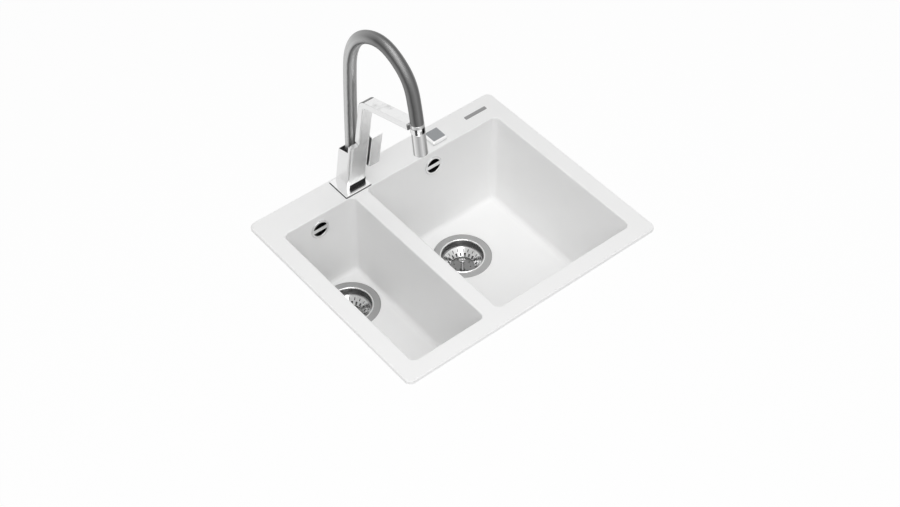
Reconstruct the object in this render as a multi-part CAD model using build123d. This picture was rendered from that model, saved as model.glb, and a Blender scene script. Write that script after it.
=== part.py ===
"""Double bowl sink in white composite, with an arched tap, pop-up waste and overflows.

Millimetres, +Z up. The origin is the middle of the worktop cut-out, on the worktop's surface.
+X is to the right and +Y is towards the rear ledge, which carries the tap.
"""
import math
import os

from build123d import *

# ---- rim and bowls -------------------------------------------------------------------------
SINK_W = 560.0
SINK_D = 465.0
RIM_TOP = 8.0
SEAL_T = 1.0
SEAL_INSET = 3.0
SEAL_W = 5.0
RIM_CORNER_R = 12.0
RIM_EDGE_R = 2.5
SIDE_MARGIN = 34.0
FRONT_MARGIN = 33.0
LEDGE = 60.5
DIVIDER = 30.5
SMALL_W = 154.0
WALL = 8.0
BOWL_CORNER_R = 11.0
BOWL_FLOOR_R = 10.0
SMALL_DEPTH = 183.6
SMALL_DRAFT = 2.0
LARGE_DEPTH = 195.4
LARGE_DRAFT = 4.5
# each waste's place: right of its bowl's middle, and in front of its bowl's rear edge
SMALL_WASTE = (6.0, 72.5)
LARGE_WASTE = (-9.45, 100.5)

# ---- fixing clips --------------------------------------------------------------------------
CLIP_EDGE = 25.0
CLIP_FRONT_IN = 110.0
CLIP_REAR_IN = 65.0
CLIP_SIDE_IN = 132.5
BOSS_OUT = 7.0
BOSS_IN = 5.0
BOSS_W = 20.0
BOSS_H = 25.0
CLIP_T = 2.0
CLIP_W = 14.0
CLIP_TOP = -8.0
CLIP_BOTTOM = -42.0
CLIP_TOE = 14.0
CLIP_SCREW_R = 2.0
CLIP_SCREW_Z = -17.0
CLIP_SLOT_END = -30.0
INSERT_R = 3.4
INSERT_L = 8.0

# ---- corner plate --------------------------------------------------------------------------
PLATE_L = 51.0
PLATE_W = 8.0
PLATE_T = 0.8
PLATE_RIGHT = 57.6
PLATE_REAR = 30.1

# ---- overflows -----------------------------------------------------------------------------
OVERFLOW_Z = -25.0
FACE_R = 19.0
FACE_T = 2.2
FACE_OPEN_R = 14.8
FACE_BAR = 8.0
SPIGOT_R = 17.0
SPIGOT_OUT = 7.0
OVERFLOW_SEAL_T = 1.5
HOUSING_R = 20.0
HOUSING_L = 25.0
HOUSING_WALL = 2.5
HOSE_STUB_R = 9.0
HOSE_STUB_WALL = 2.0
HOSE_STUB_END = 32.0

# ---- ribbed overflow hoses -----------------------------------------------------------------
RIB_R = 10.0
RIB_VALLEY_R = 8.6
RIB_BORE_R = 7.2
RIB_PITCH = 4.4
HOSE_BEND_R = 32.0

# ---- wastes, heights measured from the bowl's floor ----------------------------------------
FLANGE_R = 56.5
FLANGE_T = 1.5
FLANGE_SEAL_T = 1.5
CUP_R = 41.0
CUP_WALL = 1.2
BEAD_R = 38.8
BEAD_DEPTH = 15.0
CUP_DEPTH = 40.0
CUP_THREAD_END = 30.0
CUP_HOLE_R = 20.0
WASHER_T = 2.0
WASHER_R = 54.0
NUT_T = 9.0
NUT_R = 53.0
SOCKET_WALL = 3.6
SOCKET_TOP = 20.0
SOCKET_END = 44.0
CHAMBER_R = 26.0
CHAMBER_WALL = 3.0
CHAMBER_END = 74.0
OUTLET_R = 23.9
OUTLET_BORE_R = 20.5
OUTLET_TOP = 80.0
OUTLET_END = 106.0
STUB_DEPTH = 60.0
STUB_END = 35.0

# ---- strainer baskets ----------------------------------------------------------------------
BASKET_R = 40.2
BASKET_T = 1.1
BASKET_MOUTH_R = 36.5
BASKET_FLOOR_R = 23.5
BASKET_DEPTH = 27.0
SLOTS = 20
SLOT_W = 3.4
SLOT_END_R = 28.5
SLIT_W = 1.4
SLIT_START_R = 30.0
SLIT_END_R = 34.0
FLOOR_HOLES = 8
FLOOR_HOLE_R = 1.3
FLOOR_HOLE_PLACE = 16.0
STEM_R = 3.4
STEM_KNOB_R = 5.2
STEM_KNOB_TOP = 11.0
PLUG_R = 21.0
PLUG_SEAL_R = 23.0
PLUG_SEAL_T = 1.8

# ---- pop-up drive --------------------------------------------------------------------------
PIN_R = 2.5
PIN_END = 66.0
GUIDE_TOP = 46.0
GUIDE_T = 4.0
GUIDE_R = 5.0
PIN_GAP = 0.3
ROCKER_OFFSET = 16.0
ROCKER_HALF_T = 1.6
ROCKER_OUT = 42.0
SHAFT_R = 2.5
GLAND_R = 6.0
GLAND_END = 33.0
BOX_SIZE = 22.0
BOX_W = 14.0
BOX_WALL = 2.0
DRUM_R = 7.5
CABLE_R = 2.5
CABLE_BEND_R = 55.0
CABLE_LEAD = 30.0

# ---- control knob --------------------------------------------------------------------------
KNOB_SHIFT = 27.85
KNOB_REAR = 35.1
KNOB_SIZE = 33.0
KNOB_TOP = 17.0
KNOB_BEVEL = 2.0
KNOB_CAP = 28.0
KNOB_CAP_T = 0.8
ROSETTE_SIZE = 31.0
ROSETTE_T = 1.2
KNOB_GAP = 0.4
BUSHING_R = 6.0
BUSHING_END = -8.0
KNOB_SHAFT_R = 3.0
KNOB_SHAFT_END = -21.0
KNOB_BOX_R = 7.0
KNOB_BOX_END = -26.0
KNOB_NUT_AF = 17.0
KNOB_NUT_T = 4.5
KNOB_WASHER_T = 1.5

# ---- tap: foot and body --------------------------------------------------------------------
TAP_SHIFT = 4.25
TAP_REAR = 26.2
TAP_HOLE_R = 17.5
BASE_W = 56.0
BASE_D = 52.2
BASE_SHIFT = (-3.8, -6.0)
BASE_T = 4.0
GASKET_T = 0.6
BODY_W = 43.5
BODY_FOOT_D = 38.5
BODY_SHIFT = 0.75
LEAN = 10.5
BODY_TOP = 122.4
BODY_WALL = 2.5
BODY_FRONT_WALL = 4.0
BODY_BACK_WALL = 1.8
BODY_RIDGE_T = 8.0
BODY_RIDGE_H = 8.0
BODY_CORNER_R = 6.0
BODY_REAR_TOP = 86.5
BODY_SIDE_TOP = 102.5
FOOT_INSERT_H = 9.5
FOOT_INSERT_T = 3.0

# ---- tap: valve and lever ------------------------------------------------------------------
VALVE_HEIGHT = 44.0
CARTRIDGE_R = 12.0
CARTRIDGE_L = 22.0
CARTRIDGE_NUT_R = 13.0
HUB_R = 6.8
HUB_L = 11.0
LEVER_GAP = 3.0
LEVER_W = 24.0
LEVER_T = 9.0
LEVER_BOTTOM = 39.6
LEVER_TOP = 123.2
LEVER_CHEEK_T = 4.0
LEVER_CHEEK_TOP = 60.0
LEVER_STEM_R = 3.0
LEVER_PIVOT_IN = 5.0
LEVER_PIN_R = 1.2
LEVER_SCREW_R = 2.0

# ---- tap: arm, dock and spray head ---------------------------------------------------------
ARM_SHIFT = 6.8
ARM_W = 24.0
ARM_T = 12.2
ARM_EDGE_R = 1.5
ARM_REVEAL = 0.8
ARM_SCREW_R = 1.2
ARM_SKIN = 1.2
ELBOW_HEIGHT = 220.0
ELBOW_R = 12.0
RUN_RISE = 17.0
TONGUE_W = 16.0
TONGUE_T = 7.0
TONGUE_L = 28.0
DOCK_SHIFT = 9.15
DOCK_FORWARD = 195.5
DOCK_HEIGHT = 260.5
SPRAY_LEAN = 7.07
DOCK_R = 12.6
DOCK_H = 10.5
DOCK_SLOT_R = 9.4
DOCK_TIP = 5.5
CLIP_INNER_R = 7.8
NECK_R = 7.5
NECK_END = 22.0
NECK_HEAD_T = 2.0
SPIGOT_BORE_R = 4.5
SPRAY_R = 12.2
SPRAY_END = 51.0
SPRAY_WALL = 1.6
END_NUT_R = 12.0
END_NUT_H = 6.6
DOCK_GAP = 0.4

# ---- tap: hose -----------------------------------------------------------------------------
HOSE_R = 11.7
HOSE_BORE_R = 6.5
HOSE_SHIFT = 0.5
HOSE_SOCKET_R = 12.6
HOSE_SOCKET_H = 8.0
HOSE_SOCKET_SINK = 30.0
# the route's points, as distances in front of the tap's middle and above its base plate
HOSE_ROUTE = [(11.7, 82.6), (19.2, 277.1), (30.1, 335.6), (58, 375.2), (104, 395.2), (143.1, 385.2),
              (180.2, 352)]
HOSE_LAST_RUN = 20.0
HOSE_ARC = 0.45

# ---- tap: fixing under the ledge -----------------------------------------------------------
SHANK_R = 12.5
SHANK_BORE_R = 9.6
SHANK_TOP = 24.0
SHANK_END = -45.0
INLET_R = 4.5
INLET_OFFSET = 5.0
INLET_L = 14.0
TAP_WASHER_T = 2.0
CLAMP_T = 3.0
CLAMP_W = 52.0
CLAMP_D = 30.0
CLAMP_CORNER_R = 8.0
TAP_NUT_AF = 30.0
TAP_NUT_T = 8.0

# FIT and RUNNING are radial gaps of fitted and turning pieces, LOOSE is the gap of a free hole;
# cutters go OVER past a face, or REACH where they pass everything.
FIT = 0.1
RUNNING = 0.06
LOOSE = 0.3
OVER = 1.0
REACH = 500.0
UP = (Align.CENTER, Align.CENTER, Align.MIN)

RIM_UNDER = SEAL_T
BOWL_Y0 = -SINK_D / 2 + FRONT_MARGIN
BOWL_Y1 = SINK_D / 2 - LEDGE
BASE_TOP = RIM_TOP + BASE_T


class Bowl:
    """One bowl: where its opening lies, how deep it is and where its waste sits."""

    def __init__(self, x0, x1, depth, draft, waste):
        self.x0 = x0
        self.x1 = x1
        self.depth = depth
        self.draft = draft
        self.middle_x = (x0 + x1) / 2
        self.waste_x = self.middle_x + waste[0]
        self.waste_y = BOWL_Y1 - waste[1]
        self.middle_y = (BOWL_Y0 + BOWL_Y1) / 2
        self.floor = RIM_TOP - depth
        self.inset = depth * math.tan(math.radians(draft))

    def tapered(self, grow, top, floor, corner):
        """The bowl's form from top to floor, grown sideways; its walls lean by the draft."""
        faces = []
        for z in (floor, top):
            shift = (RIM_TOP - z) * math.tan(math.radians(self.draft))
            width = self.x1 - self.x0 + 2 * (grow - shift)
            length = BOWL_Y1 - BOWL_Y0 + 2 * (grow - shift)
            faces.append(Pos(self.middle_x, self.middle_y, z) * RectangleRounded(width, length, corner))
        return loft(faces, ruled=True)

    def overflow_plane(self):
        """On the rear wall's inner face, with z out into the bowl and y up the wall."""
        lean = math.radians(self.draft)
        y = BOWL_Y1 - (RIM_TOP - OVERFLOW_Z) * math.tan(lean)
        out = (0, -math.cos(lean), math.sin(lean))
        return Plane((self.middle_x, y, OVERFLOW_Z), x_dir=(1, 0, 0), z_dir=out)

    def hose_top(self):
        plane = self.overflow_plane()
        return plane.from_local_coords(Vector(0, -HOSE_STUB_END, -(WALL + HOUSING_L - 10)))

    def hose_corner(self):
        """Where the straight hose down the wall would meet the waste stub's height."""
        top = self.hose_top()
        z = self.floor - STUB_DEPTH
        return Vector(top.X, top.Y - (top.Z - z) * math.tan(math.radians(self.draft)), z)

    def waste_frame(self):
        """On the floor at the waste, turned so that +Y faces the overflow hose."""
        corner = self.hose_corner()
        turn = math.degrees(math.atan2(self.waste_x - corner.X, corner.Y - self.waste_y))
        return Pos(self.waste_x, self.waste_y, self.floor) * Rot(0, 0, turn)


SMALL_X0 = -SINK_W / 2 + SIDE_MARGIN
SMALL = Bowl(SMALL_X0, SMALL_X0 + SMALL_W, SMALL_DEPTH, SMALL_DRAFT, SMALL_WASTE)
LARGE = Bowl(SMALL.x1 + DIVIDER, SINK_W / 2 - SIDE_MARGIN, LARGE_DEPTH, LARGE_DRAFT, LARGE_WASTE)
BOWLS = {"small": SMALL, "large": LARGE}

KNOB_X = LARGE.middle_x + KNOB_SHIFT
KNOB_Y = SINK_D / 2 - KNOB_REAR
TAP_X = SMALL.x1 + DIVIDER / 2 + TAP_SHIFT
TAP_Y = SINK_D / 2 - TAP_REAR
BODY_X = TAP_X + BODY_SHIFT
BODY_FRONT_Y = TAP_Y - BODY_FOOT_D / 2
ARM_X = BODY_X + ARM_SHIFT
DOCK_X = BODY_X + DOCK_SHIFT
ELBOW_Z = BASE_TOP + ELBOW_HEIGHT
DOCK_Y = TAP_Y - DOCK_FORWARD
DOCK_Z = BASE_TOP + DOCK_HEIGHT
HOSE_BASE_X = TAP_X + HOSE_SHIFT


def rod(radius, low, high):
    return Pos(0, 0, low) * Cylinder(radius, high - low, align=UP)


def ring(outer, inner, low, high):
    return rod(outer, low, high) - rod(inner, low - 1, high + 1)


def block(x0, x1, y0, y1, z0, z1):
    return Pos((x0 + x1) / 2, (y0 + y1) / 2, z0) * Box(x1 - x0, y1 - y0, z1 - z0, align=UP)


def turned(*points):
    """A solid of revolution about Z from (radius, z) points."""
    return revolve(Plane.XZ * make_face(Polyline(*points, close=True)), Axis.Z)


def hexagon(across_flats, low, high):
    outline = RegularPolygon(across_flats / 2, 6, major_radius=False)
    return Pos(0, 0, low) * extrude(outline, high - low)


def save(name, *pieces):
    """Writes one node; a group of separate pieces shares one file."""
    solids = []
    for piece in pieces:
        solids.extend(piece.solids())
    shape = solids[0] if len(solids) == 1 else Compound(children=solids)
    export_step(shape, os.path.join("parts", name + ".step"))


# ---- sink ----------------------------------------------------------------------------------
def clip_frames():
    """Each fixing clip's place at the rim's underside, with +X pointing outwards."""
    reach_x = SINK_W / 2 - CLIP_EDGE
    reach_y = SINK_D / 2 - CLIP_EDGE
    frames = []
    for side in (-1, 1):
        frames.append(Pos(side * (SINK_W / 2 - CLIP_FRONT_IN), -reach_y) * Rot(0, 0, -90))
        frames.append(Pos(side * (SINK_W / 2 - CLIP_REAR_IN), reach_y) * Rot(0, 0, 90))
        for end in (-1, 1):
            y = end * (SINK_D / 2 - CLIP_SIDE_IN)
            frames.append(Pos(side * reach_x, y) * Rot(0, 0, 0 if side > 0 else 180))
    return frames


def make_basin():
    rim = Pos(0, 0, RIM_UNDER) * extrude(RectangleRounded(SINK_W, SINK_D, RIM_CORNER_R), RIM_TOP - RIM_UNDER)
    for bowl in BOWLS.values():
        outer = bowl.tapered(WALL, RIM_UNDER + 1, bowl.floor - WALL, BOWL_CORNER_R + WALL)
        rim += fillet(outer.edges().group_by(Axis.Z)[0], BOWL_FLOOR_R + WALL / 2)
    for bowl in BOWLS.values():
        inner = bowl.tapered(0, RIM_TOP, bowl.floor, BOWL_CORNER_R)
        rim -= fillet(inner.edges().group_by(Axis.Z)[0], BOWL_FLOOR_R)
    rim = fillet(rim.faces().sort_by(Axis.Z)[-1].edges(), RIM_EDGE_R)
    for frame in clip_frames():
        boss = block(-BOSS_IN, BOSS_OUT, -BOSS_W / 2, BOSS_W / 2, RIM_UNDER - BOSS_H, RIM_UNDER + 0.5)
        hole = Pos(BOSS_OUT, 0, CLIP_SCREW_Z) * Rot(0, -90, 0) * rod(INSERT_R + FIT / 2, 0, INSERT_L)
        rim = rim + frame * boss - frame * hole
    for bowl in BOWLS.values():
        waste = rod(CUP_R + CUP_WALL + 0.8, -WALL - OVER, OVER)
        waste += rod(FLANGE_R + 0.5, -FLANGE_T - FLANGE_SEAL_T, OVER)
        rim -= bowl.waste_frame() * waste
        rim -= bowl.overflow_plane() * rod(SPIGOT_R + 2 * FIT, -2 * WALL, WALL)
    rim -= Pos(TAP_X, TAP_Y) * rod(TAP_HOLE_R, RIM_UNDER - OVER, RIM_TOP + OVER)
    rim -= Pos(KNOB_X, KNOB_Y) * rod(BUSHING_R + LOOSE, RIM_UNDER - OVER, RIM_TOP + OVER)
    return rim


def make_rim_seal():
    def outline(inset):
        corner = max(RIM_CORNER_R - inset, 3)
        return RectangleRounded(SINK_W - 2 * inset, SINK_D - 2 * inset, corner)

    return extrude(outline(SEAL_INSET) - outline(SEAL_INSET + SEAL_W), SEAL_T)


def make_clip():
    half = CLIP_W / 2
    toe_x = BOSS_OUT + CLIP_T + CLIP_TOE
    leg = block(BOSS_OUT, BOSS_OUT + CLIP_T, -half, half, CLIP_BOTTOM, CLIP_TOP)
    toe = block(BOSS_OUT, toe_x, -half, half, CLIP_BOTTOM, CLIP_BOTTOM + CLIP_T)
    lip = block(toe_x - CLIP_T, toe_x, -half, half, CLIP_BOTTOM, CLIP_BOTTOM + 2 * CLIP_T)
    half = CLIP_SCREW_R + LOOSE
    slot = block(BOSS_OUT - OVER, BOSS_OUT + CLIP_T + OVER, -half, half, CLIP_SLOT_END, CLIP_TOP - 4)
    return leg + toe + lip - slot


def make_clip_screw():
    out = BOSS_OUT + CLIP_T
    screw = rod(CLIP_SCREW_R, -INSERT_L - CLIP_T + 1, 0.5) + rod(4.3, 0, 2.8) - rod(1.6, 1.2, 4)
    return Pos(out, 0, CLIP_SCREW_Z) * Rot(0, 90, 0) * screw


def make_clip_insert():
    insert = ring(INSERT_R, CLIP_SCREW_R + FIT / 2, -INSERT_L, 0)
    return Pos(BOSS_OUT, 0, CLIP_SCREW_Z) * Rot(0, 90, 0) * insert


def make_corner_plate():
    plate = extrude(RectangleRounded(PLATE_L, PLATE_W, 1.5), PLATE_T)
    plate = chamfer(plate.faces().sort_by(Axis.Z)[-1].edges(), 0.25)
    return Pos(SINK_W / 2 - PLATE_RIGHT, SINK_D / 2 - PLATE_REAR, RIM_TOP) * plate


# ---- overflow ------------------------------------------------------------------------------
def make_overflow_face():
    face = fillet(ring(FACE_R, FACE_OPEN_R, 0, FACE_T).edges().group_by(Axis.Z)[-1], 0.7)
    bar = block(-FACE_OPEN_R - 1, FACE_OPEN_R + 1, -FACE_BAR / 2, FACE_BAR / 2, 0.3, FACE_T - 0.4)
    return face + bar + ring(SPIGOT_R, FACE_OPEN_R, -WALL - SPIGOT_OUT, 0.1)


def make_overflow_seal():
    return ring(HOUSING_R, SPIGOT_R + LOOSE, -WALL - OVERFLOW_SEAL_T, -WALL)


def make_overflow_housing():
    near = -WALL - OVERFLOW_SEAL_T
    far = -WALL - HOUSING_L
    shell = rod(HOUSING_R, far, near)
    stub_z = far + 10
    stub = Pos(0, 0, stub_z) * Rot(90, 0, 0) * rod(HOSE_STUB_R, HOUSING_R - 3, HOSE_STUB_END)
    bore = Pos(0, 0, stub_z) * Rot(90, 0, 0) * rod(HOSE_STUB_R - HOSE_STUB_WALL, 0, HOSE_STUB_END + 1)
    hollow = rod(SPIGOT_R + FIT, far + HOUSING_WALL, near + 1)
    return shell + stub - hollow - bore


def make_ribbed_hose(bowl):
    """A ribbed tube from the overflow housing down the wall and forward to the waste."""
    top = bowl.hose_top()
    corner = bowl.hose_corner()
    stub = (bowl.waste_frame() * Pos(0, STUB_END, -STUB_DEPTH)).position
    path = FilletPolyline(top, corner, stub, radius=HOSE_BEND_R)
    side = (corner - top).cross(stub - corner).normalized()
    plain = 2 * RIB_R
    ribs = int((path.length - 2 * plain) / RIB_PITCH)
    steps = [(0.0, RIB_VALLEY_R), (plain, RIB_VALLEY_R)]
    for rib in range(ribs):
        start = plain + rib * (path.length - 2 * plain) / ribs
        for share, radius in ((0.2, RIB_VALLEY_R), (0.4, RIB_R), (0.7, RIB_R), (0.9, RIB_VALLEY_R)):
            steps.append((start + share * RIB_PITCH, radius))
    steps.append((path.length, RIB_VALLEY_R))

    def section(distance, radius):
        spot = path @ (distance / path.length)
        return Plane(spot, x_dir=side, z_dir=path % (distance / path.length)) * Circle(radius)

    print("overflow hose: length", round(path.length, 1), "ribs", ribs, "bend radius", HOSE_BEND_R)
    outside = loft([section(distance, radius) for distance, radius in steps], ruled=True)
    bore = sweep(section(0, RIB_BORE_R), path=path)
    return outside - bore


# ---- waste ---------------------------------------------------------------------------------
def make_flange():
    wall = CUP_R + CUP_WALL
    return turned(
        (FLANGE_R, -FLANGE_T), (FLANGE_R, -0.5), (FLANGE_R - 0.5, 0), (CUP_R + 3.4, 0), (CUP_R + 2.2, 0.5),
        (CUP_R + 1.0, 0.2), (CUP_R, -1.2), (CUP_R, -BEAD_DEPTH), (BEAD_R + 0.4, -BEAD_DEPTH),
        (BEAD_R, -BEAD_DEPTH - 0.4), (BEAD_R, -CUP_DEPTH + 3), (BEAD_R - 3, -CUP_DEPTH),
        (CUP_HOLE_R + 1.5, -CUP_DEPTH), (CUP_HOLE_R, -CUP_DEPTH - 0.8), (CUP_HOLE_R, -CUP_DEPTH - 2),
        (BEAD_R - 2, -CUP_DEPTH - 2), (BEAD_R + 1.4, -CUP_DEPTH + 2), (BEAD_R + 1.4, -CUP_THREAD_END - 1),
        (wall, -CUP_THREAD_END), (wall, -FLANGE_T),
    )


def make_waste_nut():
    nut = ring(NUT_R, CUP_R + CUP_WALL + FIT, -WALL - WASHER_T - NUT_T, -WALL - WASHER_T)
    for step in range(8):
        notch = Pos(NUT_R + 1, 0) * rod(5, -WALL - WASHER_T - NUT_T - 1, -WALL - WASHER_T - 3)
        nut -= Rot(0, 0, step * 45) * notch
    return nut


def make_waste_body(popup):
    """The moulding under the cup: socket, chamber, overflow stub and threaded outlet."""
    socket_in = CUP_R + CUP_WALL + FIT
    socket_out = socket_in + SOCKET_WALL
    wall_r = CHAMBER_R + CHAMBER_WALL
    body = turned(
        (socket_in, -SOCKET_TOP), (socket_out, -SOCKET_TOP), (socket_out, -SOCKET_END - 3),
        (wall_r, -SOCKET_END - 5), (wall_r, -CHAMBER_END), (OUTLET_R, -OUTLET_TOP), (OUTLET_R, -OUTLET_END),
        (OUTLET_BORE_R, -OUTLET_END), (OUTLET_BORE_R, -OUTLET_TOP), (CHAMBER_R, -CHAMBER_END + 2),
        (CHAMBER_R, -SOCKET_END), (socket_in, -SOCKET_END),
    )
    stub = Pos(0, 0, -STUB_DEPTH) * Rot(-90, 0, 0)
    body += stub * rod(HOSE_STUB_R, CHAMBER_R + 1, STUB_END)
    body -= stub * rod(HOSE_STUB_R - HOSE_STUB_WALL, CHAMBER_R - 3, STUB_END + OVER)
    if popup:
        bridge = block(-CHAMBER_R - 1, CHAMBER_R + 1, -2, 2, -GUIDE_TOP - GUIDE_T, -GUIDE_TOP)
        bridge += rod(GUIDE_R, -GUIDE_TOP - GUIDE_T, -GUIDE_TOP)
        body += bridge - rod(PIN_R + RUNNING, -GUIDE_TOP - GUIDE_T - 1, -GUIDE_TOP + 1)
        gland_start = math.sqrt(CHAMBER_R ** 2 - (ROCKER_OFFSET - GLAND_R) ** 2)
        axis = rocker_axis()
        gland = axis * rod(GLAND_R, gland_start, GLAND_END) - rod(CHAMBER_R, -CHAMBER_END, -SOCKET_END)
        body = body + gland - axis * rod(SHAFT_R + RUNNING, 0, GLAND_END + 1)
    return body


def make_basket():
    """Rim, slotted cone, floor, centre stem with its knob, and the plug plate below."""
    floor = -BASKET_DEPTH
    cup = turned(
        (BASKET_R, -BEAD_DEPTH + 0.2), (BASKET_R, -BEAD_DEPTH + 1.2), (BASKET_R - 1.2, -BEAD_DEPTH + 2.0),
        (BASKET_MOUTH_R, -BEAD_DEPTH + 1.4), (BASKET_FLOOR_R, floor), (0, floor), (0, floor - BASKET_T),
        (BASKET_FLOOR_R + 0.6, floor - BASKET_T), (BASKET_MOUTH_R + 0.4, -BEAD_DEPTH + 0.2),
    )
    slot = block(BASKET_FLOOR_R + 0.5, SLOT_END_R, -SLOT_W / 2, SLOT_W / 2, floor - 3, 0)
    slit = block(SLIT_START_R, SLIT_END_R, -SLIT_W / 2, SLIT_W / 2, floor - 3, 0)
    for step in range(SLOTS):
        cup -= Rot(0, 0, (step + 0.5) * 360 / SLOTS) * slot
        cup -= Rot(0, 0, step * 360 / SLOTS) * slit
    for step in range(FLOOR_HOLES):
        hole = Pos(FLOOR_HOLE_PLACE, 0) * rod(FLOOR_HOLE_R, floor - BASKET_T - OVER, floor + OVER)
        cup -= Rot(0, 0, step * 360 / FLOOR_HOLES) * hole
    stem = rod(STEM_R, -CUP_DEPTH + PLUG_SEAL_T, -STEM_KNOB_TOP - 2)
    top = -STEM_KNOB_TOP
    knob = turned(
        (0, top - 4), (STEM_KNOB_R, top - 4), (STEM_KNOB_R, top - 0.8), (STEM_KNOB_R - 0.8, top), (2.4, top),
        (1.6, top - 0.7), (0, top - 0.7),
    )
    plug = rod(PLUG_R, -CUP_DEPTH + PLUG_SEAL_T + 0.1, -CUP_DEPTH + PLUG_SEAL_T + 1.4)
    return cup + stem + knob + plug


def make_basket_seal():
    top = -CUP_DEPTH + PLUG_SEAL_T + 0.1
    return turned((8, top), (PLUG_SEAL_R, top), (PLUG_SEAL_R, top - 0.9), (PLUG_SEAL_R - 1, -CUP_DEPTH + 0.1),
                  (8, -CUP_DEPTH + 0.1))


def make_lift_pin():
    top = -CUP_DEPTH + PLUG_SEAL_T
    tip = -PIN_END + PIN_R
    return rod(PIN_R, tip, top) + Pos(0, 0, tip) * Sphere(PIN_R)


def rocker_axis():
    """The rocker shaft's axis in the waste's frame, with z along the shaft outwards."""
    z = -PIN_END - PIN_GAP - ROCKER_HALF_T
    return Pos(0, -ROCKER_OFFSET, z) * Rot(0, 90, 0)


def make_rocker():
    axis = rocker_axis()
    shaft = axis * rod(SHAFT_R, -3, ROCKER_OUT)
    drum = axis * rod(DRUM_R - 1, ROCKER_OUT - 4, ROCKER_OUT)
    z = -PIN_END - PIN_GAP - ROCKER_HALF_T
    finger = block(-3, 3, -ROCKER_OFFSET, 4, z - ROCKER_HALF_T, z + ROCKER_HALF_T)
    return shaft + drum + finger


def make_cable_box():
    """Holds the end of the cable beside the waste body, round the rocker's drum."""
    axis = rocker_axis()
    z = axis.position.Z
    middle = GLAND_END + BOX_W / 2
    half = BOX_SIZE / 2
    box = Pos(middle, -ROCKER_OFFSET, z - half) * Box(BOX_W, BOX_SIZE, BOX_SIZE, align=UP)
    box = fillet(box.edges().filter_by(Axis.X), 3)
    box -= axis * rod(DRUM_R, GLAND_END + BOX_WALL, GLAND_END + BOX_W - BOX_WALL)
    box -= axis * rod(SHAFT_R + RUNNING, GLAND_END - 1, GLAND_END + BOX_WALL + 1)
    return box


def cable_entry():
    """Where the cable meets the box at the waste, on the box's rear face."""
    spot = Pos(GLAND_END + BOX_W / 2, -ROCKER_OFFSET + BOX_SIZE / 2, rocker_axis().position.Z - 5)
    return (LARGE.waste_frame() * spot).position


def make_cable():
    """Straight down behind the bowl, then one wide bend forward under its floor."""
    top = Vector(KNOB_X, KNOB_Y, KNOB_BOX_END)
    end = cable_entry()
    turn = Vector(top.X, top.Y, end.Z)
    lead = LARGE.waste_frame().orientation.Z
    back = Vector(-math.sin(math.radians(lead)), math.cos(math.radians(lead)), 0)
    near = end + back * CABLE_LEAD
    path = FilletPolyline(top, turn, near, end, radius=[CABLE_BEND_R, CABLE_BEND_R])
    print("pop-up cable: length", round(path.length, 1), "radii", CABLE_BEND_R)
    start = Plane(top, z_dir=path % 0) * Circle(CABLE_R)
    return sweep(start, path=path)


# ---- control knob --------------------------------------------------------------------------
def make_knob():
    low = RIM_TOP + ROSETTE_T + KNOB_GAP
    body = Pos(0, 0, low) * extrude(RectangleRounded(KNOB_SIZE, KNOB_SIZE, KNOB_BEVEL + 0.6), KNOB_TOP - low)
    body = chamfer(body.faces().sort_by(Axis.Z)[-1].edges(), KNOB_BEVEL)
    return body - make_knob_cap() - rod(KNOB_SHAFT_R, low - OVER, KNOB_TOP - 3)


def make_knob_cap():
    return Pos(0, 0, KNOB_TOP - KNOB_CAP_T) * extrude(RectangleRounded(KNOB_CAP, KNOB_CAP, 1), KNOB_CAP_T)


def make_knob_shaft():
    shaft = rod(KNOB_SHAFT_R, KNOB_SHAFT_END, KNOB_TOP - 3)
    return shaft + rod(BUSHING_R - 1.2, KNOB_SHAFT_END, KNOB_SHAFT_END + 4)


def make_knob_bushing():
    rosette = Pos(0, 0, RIM_TOP) * extrude(RectangleRounded(ROSETTE_SIZE, ROSETTE_SIZE, 1), ROSETTE_T)
    tube = rod(BUSHING_R, BUSHING_END, RIM_TOP + 0.1)
    return rosette + tube - rod(KNOB_SHAFT_R + RUNNING, BUSHING_END - OVER, RIM_TOP + ROSETTE_T + OVER)


def make_knob_box():
    top = RIM_UNDER - KNOB_WASHER_T - KNOB_NUT_T
    box = rod(KNOB_BOX_R, KNOB_BOX_END, top)
    box -= rod(BUSHING_R + FIT, BUSHING_END, top + OVER)
    return box - rod(BUSHING_R - 0.4, KNOB_BOX_END + 2.5, BUSHING_END + OVER)


# ---- tap foot and body ---------------------------------------------------------------------
BODY_D = BODY_FOOT_D * math.cos(math.radians(LEAN))
BODY_FRAME = Pos(BODY_X, TAP_Y, BASE_TOP) * Rot(LEAN, 0, 0)
FRONT = -BODY_D / 2
HALF_W = BODY_W / 2
VALVE_END = HALF_W - BODY_WALL - LOOSE


def make_base_plate():
    plate = extrude(Rectangle(BASE_W, BASE_D), BASE_T - GASKET_T)
    plate = chamfer(plate.faces().sort_by(Axis.Z)[-1].edges(), 0.6)
    plate = Pos(TAP_X + BASE_SHIFT[0], TAP_Y + BASE_SHIFT[1], RIM_TOP + GASKET_T) * plate
    return plate - Pos(TAP_X, TAP_Y) * rod(SHANK_R + LOOSE, RIM_TOP - OVER, BASE_TOP + OVER)


def make_base_gasket():
    inset = 1.0
    sheet = extrude(Rectangle(BASE_W - 2 * inset, BASE_D - 2 * inset), GASKET_T)
    sheet = Pos(TAP_X + BASE_SHIFT[0], TAP_Y + BASE_SHIFT[1], RIM_TOP) * sheet
    return sheet - Pos(TAP_X, TAP_Y) * rod(SHANK_R + LOOSE, RIM_TOP - OVER, BASE_TOP)


def leaning(piece):
    """Puts a piece in the body's lean and cuts it level at the base plate."""
    return BODY_FRAME * piece - block(-REACH, REACH, -REACH, REACH, -REACH, BASE_TOP)


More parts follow.
